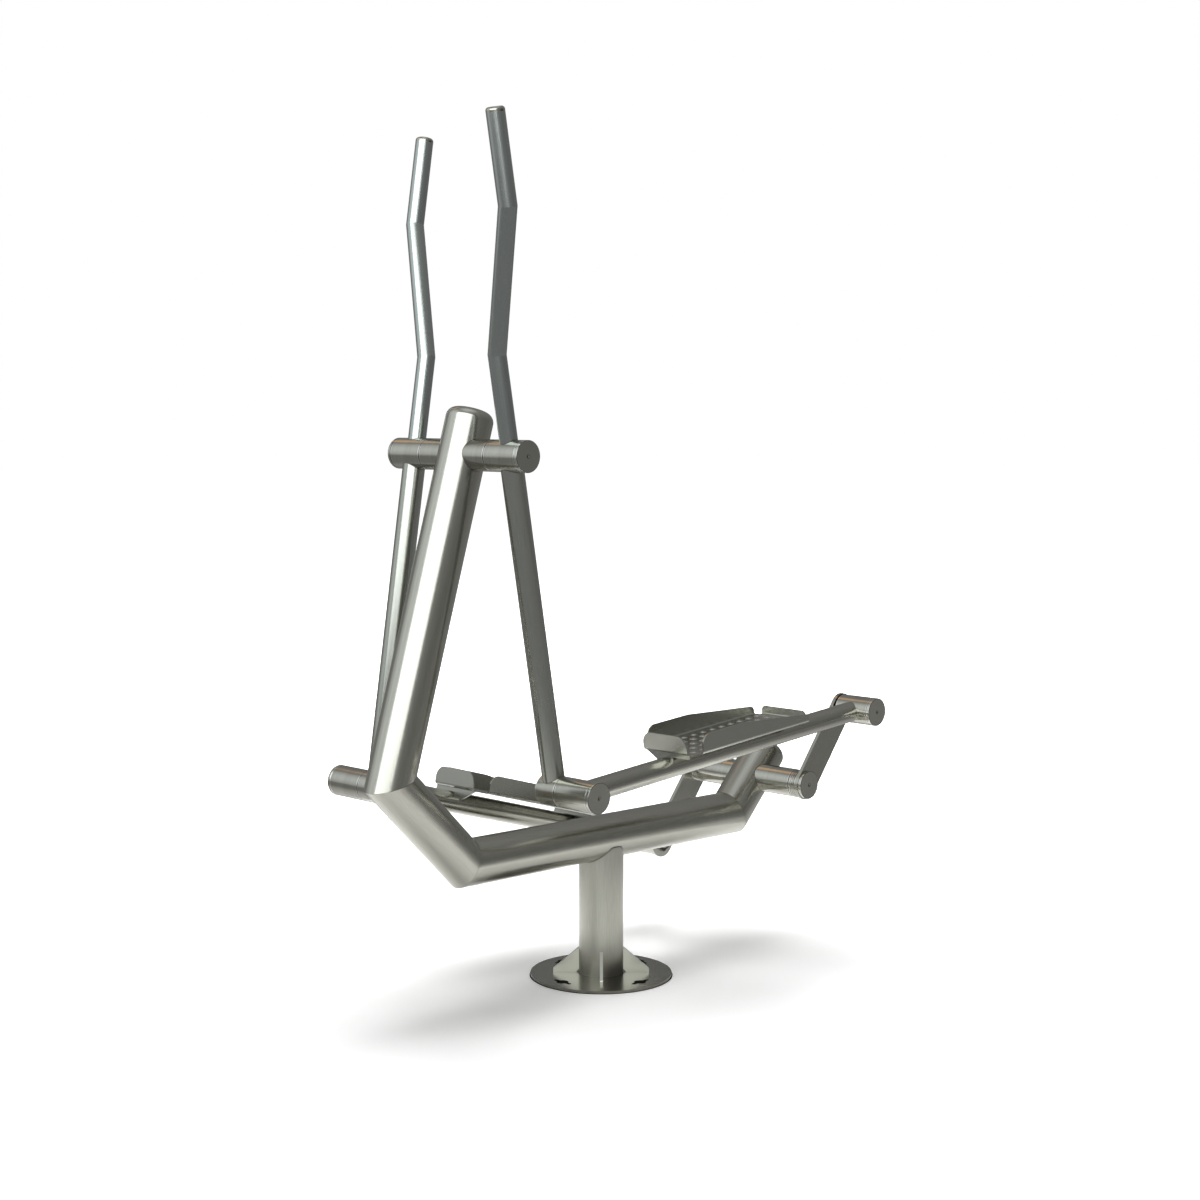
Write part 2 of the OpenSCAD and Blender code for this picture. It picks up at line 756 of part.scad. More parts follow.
// A raised ring with a dish in the middle
module stud() {
    rotate_extrude()
        polygon([
            [0, -tray_t / 2],
            [stud_d / 2, -tray_t / 2],
            [stud_d / 2, 0],
            [stud_top_d / 2, stud_h],
            [stud_dish_d / 2, stud_h],
            [0, stud_h / 4]
        ]);
}

// A bent sheet tray with four guards and a studded tread
module footplate(side) {
    steel() on_arm(side) translate([tray_heel_s, tray_y, tray_floor_z]) {
        tray_floor();
        translate([tray_l, 0, 0]) cross_guard(toe_h, toe_lean, toe_corner_r);
        mirror([1, 0, 0]) cross_guard(heel_h, 0, heel_corner_r);
        translate([0, tray_w / 2, 0]) side_guard();
        mirror([0, 1, 0]) translate([0, tray_w / 2, 0]) side_guard();
        for (i = [0 : stud_columns - 1], j = [0 : stud_rows - 1])
            translate([
                tray_l / 2 + (i - (stud_columns - 1) / 2) * stud_pitch,
                (j - (stud_rows - 1) / 2) * stud_row_pitch,
                tray_t
            ]) stud();
    }
}

// A plate across the arm that carries the footplate, with a tapered foot on the inner side
module tray_bracket(side, s) {
    half_top = toe_w / 2;
    lip_z = tray_floor_z - bracket_lip_h;
    steel() on_arm(side) difference() {
        translate([s, 0, 0]) rotate([90, 0, 90]) linear_extrude(bracket_t)
            polygon([
                [arm_y - bracket_foot_reach, bracket_foot_z],
                [arm_y, bracket_foot_z],
                [arm_y + arm_d / 4, lip_z],
                [tray_y + half_top, lip_z],
                [tray_y + half_top, tray_floor_z],
                [tray_y - half_top, tray_floor_z]
            ]);
        translate([0, arm_y, 0]) rotate([0, 90, 0]) cylinder(h = arm_l, d = arm_d + 2 * weld_gap);
    }
}

module toe_bracket(side) {
    tray_bracket(side, tray_toe_s - tray_bend_r - bracket_t);
}

module heel_bracket(side) {
    tray_bracket(side, tray_heel_s + tray_bend_r);
}

base_plate();
gusset(0);  // gusset_front_left
gusset(1);  // gusset_rear_left
gusset(2);  // gusset_rear_right
gusset(3);  // gusset_front_right
post();
main_beam();
front_tube();
mast();
mast_cap();
rear_upright();
rear_upright_cap();
handle_axle_housing();
handle_axle();
crank_housing();
crank_shaft();
crank_bearing("left");  // left_crank_bearing
crank_boss("left");  // left_crank_boss
crank_plate("left");  // left_crank_plate
crank_cap("left");  // left_crank_cap
crank_pin("left");  // left_crank_pin
lever_hub("left");  // left_lever_hub
lever_hub_cap("left");  // left_lever_hub_cap
lever_bush("left");  // left_lever_bush
lever_lower_tube("left");  // left_lever_lower_tube
lever_upper_tube("left");  // left_lever_upper_tube
grip_cap("left");  // left_grip_cap
lever_foot_hub("left");  // left_lever_foot_hub
lever_foot_pin("left");  // left_lever_foot_pin
arm_tube("left");  // left_arm_tube
arm_front_hub("left");  // left_arm_front_hub
arm_front_cap("left");  // left_arm_front_cap
arm_rear_hub("left");  // left_arm_rear_hub
arm_rear_cap("left");  // left_arm_rear_cap
arm_bush("left");  // left_arm_bush
footplate("left");  // left_footplate
toe_bracket("left");  // left_toe_bracket
heel_bracket("left");  // left_heel_bracket
crank_bearing("right");  // right_crank_bearing
crank_boss("right");  // right_crank_boss
crank_plate("right");  // right_crank_plate
crank_cap("right");  // right_crank_cap
crank_pin("right");  // right_crank_pin
lever_hub("right");  // right_lever_hub
lever_hub_cap("right");  // right_lever_hub_cap
lever_bush("right");  // right_lever_bush
lever_lower_tube("right");  // right_lever_lower_tube
lever_upper_tube("right");  // right_lever_upper_tube
grip_cap("right");  // right_grip_cap
lever_foot_hub("right");  // right_lever_foot_hub
lever_foot_pin("right");  // right_lever_foot_pin
arm_tube("right");  // right_arm_tube
arm_front_hub("right");  // right_arm_front_hub
arm_front_cap("right");  // right_arm_front_cap
arm_rear_hub("right");  // right_arm_rear_hub
arm_rear_cap("right");  // right_arm_rear_cap
arm_bush("right");  // right_arm_bush
footplate("right");  // right_footplate
toe_bracket("right");  // right_toe_bracket
heel_bracket("right");  // right_heel_bracket
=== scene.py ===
import json
import math

import bmesh
import bpy
from mathutils import Matrix, Vector


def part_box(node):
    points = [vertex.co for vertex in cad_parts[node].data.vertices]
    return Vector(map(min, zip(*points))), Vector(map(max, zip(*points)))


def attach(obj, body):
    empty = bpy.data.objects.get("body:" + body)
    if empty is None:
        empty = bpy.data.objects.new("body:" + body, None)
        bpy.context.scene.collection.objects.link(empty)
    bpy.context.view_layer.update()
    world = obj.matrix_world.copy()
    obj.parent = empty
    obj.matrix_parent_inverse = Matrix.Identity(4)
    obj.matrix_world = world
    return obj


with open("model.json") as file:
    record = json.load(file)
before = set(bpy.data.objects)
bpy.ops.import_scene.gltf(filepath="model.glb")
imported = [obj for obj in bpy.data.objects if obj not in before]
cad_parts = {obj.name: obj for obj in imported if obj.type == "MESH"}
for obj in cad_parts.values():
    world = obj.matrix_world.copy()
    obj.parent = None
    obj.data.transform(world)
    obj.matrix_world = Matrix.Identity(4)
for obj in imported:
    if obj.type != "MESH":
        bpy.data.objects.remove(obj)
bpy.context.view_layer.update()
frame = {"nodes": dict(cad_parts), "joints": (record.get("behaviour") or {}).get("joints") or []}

nodes = frame["nodes"]
print("frame loaded:", len(nodes), "nodes")

upwards = Vector((0, 0, 1))
alongAxles = Vector((0, 1, 0))

# Camera, where the photograph was taken from
cameraSpot = {
    "azimuth": 44.574,      # degrees from +X towards +Y
    "distance": 4.02958,    # metres from the post, along the floor
    "height": 1.13331,
    "yaw": 0.053,           # degrees off the line to the post
    "pitch": -5.375,
    "roll": 0.123,
    "focalShare": 2052.33 / 1200,    # focal length over the picture's width
    "sensor": 36,           # mm
    "reach": 60,            # metres
}


def placeCamera(spot):
    azimuth = math.radians(spot["azimuth"])
    heading = azimuth + math.pi + math.radians(spot["yaw"])
    pitch = math.radians(spot["pitch"])
    roll = math.radians(spot["roll"])
    level = Vector((math.cos(heading), math.sin(heading), 0))
    forward = level * math.cos(pitch) + upwards * math.sin(pitch)
    right = forward.cross(upwards).normalized()
    up = right.cross(forward)
    rolledRight = right * math.cos(roll) + up * math.sin(roll)
    rolledUp = up * math.cos(roll) - right * math.sin(roll)
    turn = Matrix((rolledRight, rolledUp, -forward)).transposed().to_4x4()
    place = Vector((math.cos(azimuth), math.sin(azimuth), 0)) * spot["distance"]
    place.z = spot["height"]
    data = bpy.data.cameras.new("camera")
    data.sensor_width = spot["sensor"]
    data.lens = spot["sensor"] * spot["focalShare"]
    data.clip_end = spot["reach"]
    camera = bpy.data.objects.new("camera", data)
    camera.matrix_world = Matrix.Translation(place) @ turn
    bpy.context.scene.collection.objects.link(camera)
    bpy.context.scene.camera = camera


placeCamera(cameraSpot)
print("camera placed")


def middle(node):
    low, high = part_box(node)
    return (Vector(low) + Vector(high)) / 2


def slope(start, end):
    return math.atan2(end.z - start.z, end.x - start.x)


# Directions of the linkage, read from the joints of the frame
sides = ("left", "right")
joints = {joint["name"]: joint for joint in frame["joints"]}
handleAxle = Vector(joints["left_lever_swing"]["pos_m"])
crankAxle = Vector(joints["crank_turn"]["pos_m"])
crankPins = {side: Vector(joints[side + "_arm_pivot"]["pos_m"]) for side in sides}
armSlope = {side: slope(crankPins[side], middle(side + "_arm_front_hub")) for side in sides}
leverSlope = {side: slope(middle(side + "_lever_foot_hub"), handleAxle) for side in sides}
crankSlope = {side: slope(crankAxle, crankPins[side]) for side in sides}


# Helpers for shader nodes
def newGroup(name, inputs, outputs):
    group = bpy.data.node_groups.new(name, "ShaderNodeTree")
    for socketName, kind, value in inputs:
        socket = group.interface.new_socket(name=socketName, in_out="INPUT", socket_type=kind)
        if value is not None:
            socket.default_value = value
    for socketName, kind in outputs:
        group.interface.new_socket(name=socketName, in_out="OUTPUT", socket_type=kind)
    return group, group.nodes.new("NodeGroupInput"), group.nodes.new("NodeGroupOutput")


def addNode(tree, kind, **settings):
    node = tree.nodes.new(kind)
    for key, value in settings.items():
        if key in node.inputs.keys():
            node.inputs[key].default_value = value
        else:
            setattr(node, key, value)
    return node


def feed(tree, value, socket):
    if isinstance(value, bpy.types.NodeSocket):
        tree.links.new(value, socket)
    else:
        socket.default_value = value


def calculate(tree, operation, first, second=None):
    node = addNode(tree, "ShaderNodeMath", operation=operation)
    feed(tree, first, node.inputs[0])
    if second is not None:
        feed(tree, second, node.inputs[1])
    return node.outputs[0]


def combine(tree, operation, first, second=None, result="Vector"):
    node = addNode(tree, "ShaderNodeVectorMath", operation=operation)
    feed(tree, first, node.inputs[0])
    if second is not None:
        feed(tree, second, node.inputs[1])
    return node.outputs[result]


def remap(tree, value, low, high, newLow, newHigh, smooth=False):
    node = addNode(tree, "ShaderNodeMapRange")
    if smooth:
        node.interpolation_type = "SMOOTHSTEP"
    socketNames = ("Value", "From Min", "From Max", "To Min", "To Max")
    for socketName, number in zip(socketNames, (value, low, high, newLow, newHigh)):
        feed(tree, number, node.inputs[socketName])
    return node.outputs["Result"]


# Places of the sockets that a Mix node uses for colours
mixSockets = {"share": 0, "first": 6, "second": 7, "result": 2}


def mixColours(tree, share, first, second):
    node = addNode(tree, "ShaderNodeMix", data_type="RGBA")
    tree.links.new(share, node.inputs[mixSockets["share"]])
    for key, colour in (("first", first), ("second", second)):
        isSocket = isinstance(colour, bpy.types.NodeSocket)
        feed(tree, colour if isSocket else (*colour, 1), node.inputs[mixSockets[key]])
    return node.outputs[mixSockets["result"]]


def splitAxes(tree, vector):
    node = addNode(tree, "ShaderNodeSeparateXYZ")
    tree.links.new(vector, node.inputs[0])
    return node.outputs


def addNoise(tree, vector, **settings):
    node = addNode(tree, "ShaderNodeTexNoise", **settings)
    tree.links.new(vector, node.inputs["Vector"])
    return node


# Brushed lines and larger blotches of the steel
grainValues = {
    "lineNoise": {"Detail": 3.0, "Roughness": 0.6},
    "blotchNoise": {"Detail": 4.0, "Roughness": 0.55},
    "contrast": (0.3, 0.7),         # noise values of the darkest and the lightest tone
    "toneShares": (0.45, 0.55),     # how much the lines and the blotches count
    "glossShares": (0.5, 0.5),
}


def makeGrainGroup():
    group, inputs, outputs = newGroup(
        "satinGrain",
        [("Vector", "NodeSocketVector", None), ("Lines", "NodeSocketFloat", 900.0),
         ("Blotches", "NodeSocketFloat", 9.0)],
        [("Tone", "NodeSocketFloat"), ("Gloss", "NodeSocketFloat"), ("Height", "NodeSocketFloat")],
    )
    link = group.links.new
    vector = inputs.outputs["Vector"]
    lines = addNoise(group, vector, **grainValues["lineNoise"])
    link(inputs.outputs["Lines"], lines.inputs["Scale"])
    blotches = addNoise(group, vector, **grainValues["blotchNoise"])
    link(inputs.outputs["Blotches"], blotches.inputs["Scale"])
    lineTone = remap(group, lines.outputs[0], *grainValues["contrast"], -0.5, 0.5)
    blotchTone = remap(group, blotches.outputs[0], *grainValues["contrast"], -0.5, 0.5)

    def blend(shares):
        lineShare = calculate(group, "MULTIPLY", lineTone, shares[0])
        blotchShare = calculate(group, "MULTIPLY", blotchTone, shares[1])
        return calculate(group, "ADD", lineShare, blotchShare)

    link(calculate(group, "ADD", blend(grainValues["toneShares"]), 0.5), outputs.inputs["Tone"])
    link(blend(grainValues["glossShares"]), outputs.inputs["Gloss"])
    link(lines.outputs[0], outputs.inputs["Height"])
    return group


# Painted shade near the floor: darker towards the bottom, fading with the height, broken up by
# noise
groundShadeValues = {"noise": {"Scale": 14.0, "Detail": 4.0}, "contrast": (0.35, 0.65), "thinnest": 0.75}


def makeGroundShadeGroup():
    group, inputs, outputs = newGroup(
        "paintedGroundShade",
        [("Vector", "NodeSocketVector", None), ("Low", "NodeSocketFloat", 0.0),
         ("High", "NodeSocketFloat", 0.1)],
        [("Mask", "NodeSocketFloat")],
    )
    vector, low, high = (inputs.outputs[key] for key in ("Vector", "Low", "High"))
    fade = remap(group, splitAxes(group, vector)["Z"], low, high, 1, 0, smooth=True)
    noise = addNoise(group, vector, **groundShadeValues["noise"])
    contrast, thinnest = groundShadeValues["contrast"], groundShadeValues["thinnest"]
    spots = remap(group, noise.outputs[0], *contrast, thinnest, 1.0)
    group.links.new(calculate(group, "MULTIPLY", fade, spots), outputs.inputs["Mask"])
    return group


# A broken line where a plane cuts the surface, as at a mitre
seamValues = {"noise": {"Scale": 60.0, "Detail": 2.0}, "contrast": (0.35, 0.6), "thinnest": 0.45}


def makeSeamGroup():
    group, inputs, outputs = newGroup(
        "seamLine",
        [("Vector", "NodeSocketVector", None), ("Point", "NodeSocketVector", None),
         ("Across", "NodeSocketVector", None), ("Width", "NodeSocketFloat", 0.0008)],
        [("Mask", "NodeSocketFloat")],
    )
    vector, point, across, width = (
        inputs.outputs[key] for key in ("Vector", "Point", "Across", "Width"))
    away = combine(group, "SUBTRACT", vector, point)
    reach = combine(group, "DOT_PRODUCT", away, across, result="Value")
    line = remap(group, calculate(group, "ABSOLUTE", reach), 0, width, 1, 0, smooth=True)
    noise = addNoise(group, vector, **seamValues["noise"])
    breaks = remap(group, noise.outputs[0], *seamValues["contrast"], seamValues["thinnest"], 1.0)
    group.links.new(calculate(group, "MULTIPLY", line, breaks), outputs.inputs["Mask"])
    return group


# A line at one distance from an axis, where a round hub meets a tube
def makeRingGroup():
    group, inputs, outputs = newGroup(
        "ringLine",
        [("Vector", "NodeSocketVector", None), ("Point", "NodeSocketVector", None),
         ("Along", "NodeSocketVector", None), ("Radius", "NodeSocketFloat", 0.03),
         ("Width", "NodeSocketFloat", 0.001)],
        [("Mask", "NodeSocketFloat")],
    )
    vector, point, along, radius, width = (
        inputs.outputs[key] for key in ("Vector", "Point", "Along", "Radius", "Width"))
    away = combine(group, "SUBTRACT", vector, point)
    lengthwise = combine(group, "PROJECT", away, along)
    distance = combine(group, "DISTANCE", away, lengthwise, result="Value")
    off = calculate(group, "ABSOLUTE", calculate(group, "SUBTRACT", distance, radius))
    group.links.new(remap(group, off, 0, width, 1, 0, smooth=True), outputs.inputs["Mask"])
    return group


# Painted gap shade and a painted chamfer line at both ends of a turned piece that lies along Y: a
# light colour paints a highlight, a dark one paints shade
def makeEndGroup():
    group, inputs, outputs = newGroup(
        "turnedEnds",
        [("Vector", "NodeSocketVector", None), ("Axis", "NodeSocketVector", None),
         ("Radius", "NodeSocketFloat", 0.028), ("Low", "NodeSocketFloat", -0.1),
         ("High", "NodeSocketFloat", 0.1), ("Gap", "NodeSocketFloat", 0.0013),
         ("Edge", "NodeSocketFloat", 0.0032)],
        [("GapShade", "NodeSocketFloat"), ("ChamferBand", "NodeSocketFloat")],
    )
    vector, axis, radius, low, high = (
        inputs.outputs[key] for key in ("Vector", "Axis", "Radius", "Low", "High"))
    place = splitAxes(group, vector)["Y"]
    fromLow = calculate(group, "SUBTRACT", place, low)
    fromHigh = calculate(group, "SUBTRACT", high, place)
    off = calculate(group, "ABSOLUTE", calculate(group, "MINIMUM", fromLow, fromHigh))
    away = combine(group, "SUBTRACT", vector, axis)
    flat = combine(group, "MULTIPLY", away, (1, 0, 1))
    length = combine(group, "LENGTH", flat, result="Value")
    onSide = calculate(group, "GREATER_THAN", length, radius)
    for socketName, reach in (("GapShade", "Gap"), ("ChamferBand", "Edge")):
        line = remap(group, off, 0, inputs.outputs[reach], 1, 0, smooth=True)
        group.links.new(calculate(group, "MULTIPLY", line, onSide), outputs.inputs[socketName])
    return group


grainGroup = makeGrainGroup()
groundShadeGroup = makeGroundShadeGroup()
seamGroup = makeSeamGroup()
ringGroup = makeRingGroup()
endGroup = makeEndGroup()
print("shader groups made")

# Finishes of the steel
satinLook = {
    "light": (0.505, 0.5, 0.442),
    "dark": (0.385, 0.38, 0.338),
    "roughness": 0.21,
    "roughnessSpread": 0.05,
    "grainStrength": 0.4,
    "grainDepth": 0.000004,
    # colour of weld and joint lines, and of all painted shade: near the floor, in gaps, at the
    # plate's rim and in recesses
    "seamAndShadeColour": (0.17, 0.165, 0.14),
    "groundShadeHeights": (-1.0, -0.9),     # heights in metres between which the painted shade near the ground fades; below the floor here, so none is drawn
    "chamferLightShade": (0.86, 0.86, 0.82),
    # colour of the painted chamfer highlight at the ends of turned pieces
    "lines": 700.0,
    "blotches": 7.0,
}
# The gussets, base plate and post get painted shade near the floor, darker towards the bottom; the
# post's lower part is darkened where it mirrors the shaded plate and floor
gussetLook = dict(
    satinLook, light=(0.56, 0.56, 0.5), dark=(0.5, 0.5, 0.445), roughness=0.3, groundShadeHeights=(-0.03, 0.02))
postLook = dict(
    gussetLook, light=(0.55, 0.55, 0.484), dark=(0.37, 0.37, 0.326), roughness=0.32,
    groundShadeHeights=(0.008, 0.11))
plateLook = dict(satinLook, roughness=0.24, groundShadeHeights=(-0.03, 0.03))
frameLook = dict(
    satinLook, light=(0.52, 0.515, 0.455), dark=(0.37, 0.365, 0.325), roughness=0.245)
upperLeverLook = dict(satinLook, light=(0.49, 0.527, 0.5), dark=(0.37, 0.398, 0.38))
lowerLeverLook = dict(satinLook, light=(0.5, 0.513, 0.463), dark=(0.38, 0.39, 0.352))
trayLook = dict(
    satinLook, light=(0.455, 0.455, 0.41), dark=(0.435, 0.435, 0.392), roughness=0.27,
    grainDepth=0.0, roughnessSpread=0.01)
# brackets: a darker copy of the tray steel, painted shade that dims the key lamp's reflection in
# them
shadedBracketLook = dict(trayLook, light=(0.36, 0.36, 0.325), dark=(0.33, 0.33, 0.3))
turnedLook = dict(
    satinLook, roughness=0.18, grainDepth=0.000001, blotches=30.0, seamAndShadeColour=(0.04, 0.04, 0.035))
# caps: a lighter copy of the turned steel, painted light on their flat faces
litCapLook = dict(turnedLook, light=(0.54, 0.535, 0.475), dark=(0.47, 0.465, 0.415))
# right-hand caps: a dark chamfer colour, painted shade on the ends that face away from the light
shadedRightCapLook = dict(litCapLook, chamferLightShade=(0.14, 0.14, 0.125))
pinLook = dict(satinLook, seamAndShadeColour=(0.03, 0.03, 0.026))
# nut: near black, painted shade for the dark faces of the nut
shadedNutLook = dict(satinLook, light=(0.07, 0.07, 0.062), dark=(0.045, 0.045, 0.04), roughness=0.3)
shaftLook = dict(satinLook, light=(0.3, 0.3, 0.28), dark=(0.2, 0.2, 0.185), roughness=0.3)

# How far the grain is drawn out in x, y and z
alongTube = (30, 1, 1)
roundTube = (30, 1, 30)


def makeSteel(name, look, place, turn, stretch, seams=(), rings=(), ends=None):
    material, tree, shader = newMaterial(name)
    link = tree.links.new
    shader.inputs["Metallic"].default_value = 1.0
    surface = addNode(tree, "ShaderNodeTexCoord").outputs["Object"]
    mapping = addNode(
        tree, "ShaderNodeMapping", vector_type="TEXTURE", Location=place, Rotation=(0, -turn, 0),
        Scale=stretch)
    link(surface, mapping.inputs["Vector"])

    def effect(group, vector, **values):
        node = addNode(tree, "ShaderNodeGroup", node_tree=group, **values)
        link(vector, node.inputs["Vector"])
        return node.outputs

    grain = effect(grainGroup, mapping.outputs[0], Lines=look["lines"], Blotches=look["blotches"])
    colour = mixColours(tree, grain["Tone"], look["dark"], look["light"])
    # painted shade near the floor, between the look's two heights
    low, high = look["groundShadeHeights"]
    masks = [effect(groundShadeGroup, surface, Low=low, High=high)["Mask"]]
    for point, across in seams:
        masks.append(effect(seamGroup, surface, Point=point, Across=across)["Mask"])
    for point, along, radius, width in rings:
        ring = effect(ringGroup, surface, Point=point, Along=along, Radius=radius, Width=width)
        masks.append(ring["Mask"])
    # painted chamfer highlight and painted gap shade at the ends of turned pieces
    if ends:
        radius, low, high = ends
        edges = effect(endGroup, surface, Axis=place, Radius=radius, Low=low, High=high)
        colour = mixColours(tree, edges["ChamferBand"], colour, look["chamferLightShade"])
        masks.append(edges["GapShade"])
    # weld and joint lines together with painted shade, all drawn in one dark colour
    seamAndShadeMask = masks[0]
    for mask in masks[1:]:
        seamAndShadeMask = calculate(tree, "MAXIMUM", seamAndShadeMask, mask)
    link(mixColours(tree, seamAndShadeMask, colour, look["seamAndShadeColour"]), shader.inputs["Base Color"])
    half = look["roughnessSpread"] / 2
    smoothest, roughest = look["roughness"] - half, look["roughness"] + half
    rough = remap(tree, grain["Gloss"], -0.5, 0.5, smoothest, roughest)
    link(rough, shader.inputs["Roughness"])
    bump = addNode(
        tree, "ShaderNodeBump", Strength=look["grainStrength"], Distance=look["grainDepth"])
    link(grain["Height"], bump.inputs["Height"])
    link(bump.outputs[0], shader.inputs["Normal"])
    return material


def newMaterial(name):
    material = bpy.data.materials.new(name)
    material.use_nodes = True
    return material, material.node_tree, material.node_tree.nodes["Principled BSDF"]


dressed = set()


def dress(node, material):
    mesh = nodes[node].data
    mesh.materials.clear()
    mesh.materials.append(material)
    dressed.add(node)


# Corners of the bent frame, and which way each tube leaves them, in degrees above +X
frameCorners = {
    "rear": Vector((-0.387, 0, 0.2755)),
    "front": Vector((0.367, 0, 0.2846)),
    "mast": Vector((0.5413, 0, 0.4587)),
}
tubeSlopes = {
    "post": 90.0,
    "main_beam": math.degrees(slope(frameCorners["rear"], frameCorners["front"])),
    "front_tube": math.degrees(slope(frameCorners["front"], frameCorners["mast"])),
    "mast": 106.6,
    "rear_upright": 134.2,
}

# Radii and widths of the dark lines, in metres: weld and joint lines, and painted shade at gaps,
# round the base plate's rim, at the post's saddle, round the crank pin and in recessed centres
lineSizes = {
    "hub": 0.0293,
    "tube": 0.04445,
    "basePlate": 0.1415,
    "weldWidth": 0.0014,
    "postWidth": 0.0028,
    "plateWidth": 0.0012,
    "pin": 0.0125,
    "pinWidth": 0.0008,
    "pinSocketShade": 0.0075,
    "centreRecessShade": 0.006,
    "endInset": 0.001,      # how far inside the outer radius a turned piece's end lines stop
}


def leaning(angle):
    return Vector((math.cos(math.radians(angle)), 0, math.sin(math.radians(angle))))


def mitre(corner, first, second):
    return frameCorners[corner], leaning((first + second) / 2 + 90)


def weldRing(point):
    return point, alongAxles, lineSizes["hub"], lineSizes["weldWidth"]


def dressFrame():
    beam, knee = tubeSlopes["main_beam"], tubeSlopes["front_tube"]
    rearMitre = mitre("rear", beam, tubeSlopes["rear_upright"])
    frontMitre = mitre("front", beam + 180, knee)
    mastMitre = mitre("mast", knee + 180, tubeSlopes["mast"])
    seams = {
        "main_beam": [rearMitre, frontMitre],
        "front_tube": [frontMitre, mastMitre],
        "mast": [mastMitre],
        "rear_upright": [rearMitre],
    }
    # where the post's saddle meets the beam: a dark weld line, also painted gap shadow
    saddle = (frameCorners["rear"], leaning(beam), lineSizes["tube"], lineSizes["postWidth"])
    rings = {
        "post": [saddle],
        "mast": [weldRing(handleAxle)],
        "rear_upright": [weldRing(crankAxle)],
    }
    looks = {"post": postLook, "main_beam": frameLook, "front_tube": frameLook}
    tubes = ("post", "main_beam", "front_tube", "mast", "mast_cap", "rear_upright",
             "rear_upright_cap")
    for node in tubes:
        look = looks.get(node, satinLook)
        turn = math.radians(tubeSlopes[node.replace("_cap", "")])
        lines = seams.get(node, []), rings.get(node, [])
        dress(node, makeSteel("satin_" + node, look, middle(node), turn, alongTube, *lines))
    # painted shade: a dark line round the base plate's lower rim, where it meets the floor
    rim = (Vector((0, 0, 0)), upwards, lineSizes["basePlate"], lineSizes["plateWidth"])
    plate = middle("base_plate")
    dress("base_plate",
          makeSteel("satin_base_plate", plateLook, plate, 0, alongTube, rings=[rim]))
    for corner in ("front_left", "rear_left", "rear_right", "front_right"):
        node = "gusset_" + corner
        dress(node, makeSteel("satin_" + node, gussetLook, middle(node), 0, alongTube))


def dressSide(side):
    frontHub = middle(side + "_arm_front_hub")
    pin = crankPins[side]
    turn = leverSlope[side]
    rings = [weldRing(handleAxle), weldRing(frontHub)]
    for part, look in (("lower_tube", lowerLeverLook), ("upper_tube", upperLeverLook)):
        node = side + "_lever_" + part
        dress(node, makeSteel("satin_" + node, look, handleAxle, turn, alongTube, rings=rings))
    armLooks = {
        "arm_tube": satinLook,
        "footplate": trayLook,
        "toe_bracket": shadedBracketLook,
        "heel_bracket": shadedBracketLook,
    }
    turn = armSlope[side]
    for part, look in armLooks.items():
        node = side + "_" + part
        rings = [weldRing(pin), weldRing(frontHub)] if part == "arm_tube" else []
        dress(node, makeSteel("satin_" + node, look, pin, turn, alongTube, rings=rings))
    node = side + "_crank_plate"
    dress(node, makeSteel("satin_" + node, satinLook, crankAxle, crankSlope[side], alongTube))
    node = side + "_crank_pin"
    # a dark line round the pin's edge, painted gap shade, and a dark disc at its centre, painted
    # shade of a socket that is not modelled
    rings = [
        (pin, alongAxles, lineSizes["pin"], lineSizes["pinWidth"]),
        (pin, alongAxles, 0.0, lineSizes["pinSocketShade"]),
    ]
    dress(node, makeSteel("turned_" + node, pinLook, pin, 0, roundTube, rings=rings))


def dressTurned(node):
    shaftWords = ("shaft", "bearing", "bush", "pin", "handle_axle")
    isShaft = any(word in node for word in shaftWords) and "housing" not in node
    isGrip = "grip" in node
    isCap = node.endswith("cap") and not isGrip
    low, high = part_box(node)
    if isShaft:
        dress(node, makeSteel("shaft_" + node, shaftLook, middle(node), 0, roundTube))
        return
    look = turnedLook
    # right-hand caps take the painted chamfer shade
    if isCap:
        look = shadedRightCapLook if node.startswith("right_") else litCapLook
    # painted shade: a dark disc at the centre of each end, in the shallow centre recess
    recessShade = [(middle(node), alongAxles, 0.0, lineSizes["centreRecessShade"])]
    ends = ((high[2] - low[2]) / 2 - lineSizes["endInset"], low[1], high[1])
    dress(node, makeSteel(
        "turned_" + node, look, middle(node), 0, roundTube, rings=recessShade,
        ends=None if isGrip else ends))


dressFrame()
for side in sides:
    dressSide(side)
for node in sorted(set(nodes) - dressed):
    dressTurned(node)
print("materials set")


def placeObject(name, mesh, material):
    data = bpy.data.meshes.new(name)
    mesh.to_mesh(data)
    mesh.free()
    data.materials.append(material)
    item = bpy.data.objects.new(name, data)
    bpy.context.scene.collection.objects.link(item)
    return item


# Nut and bolt end on the inner face of each crank plate
crankNut = {
    "sides": 6,
    "radius": 0.0196,       # to a corner of the nut
    "height": 0.006,
    "boltSides": 32,
    "boltRadius": 0.0105,
    "boltHeight": 0.0075,
    "bevel": 0.001,
}


def makeFastener(name, segments, radius, height, place, inwards, look):
    mesh = bmesh.new()
    bmesh.ops.create_cone(
        mesh, cap_ends=True, segments=segments, radius1=radius, radius2=radius, depth=height)
    bmesh.ops.bevel(
        mesh, geom=mesh.edges[:], offset=crankNut["bevel"], affect="EDGES", segments=2,
        profile=0.5, material=-1)
    ontoAxle = Matrix.Rotation(math.radians(90), 4, "X")
    shift = Matrix.Translation(place + alongAxles * inwards * height / 2)
    bmesh.ops.transform(mesh, matrix=shift @ ontoAxle, verts=mesh.verts)
    piece = placeObject(name, mesh, makeSteel("steel_" + name, look, place, 0, roundTube))
    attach(piece, "crankset")


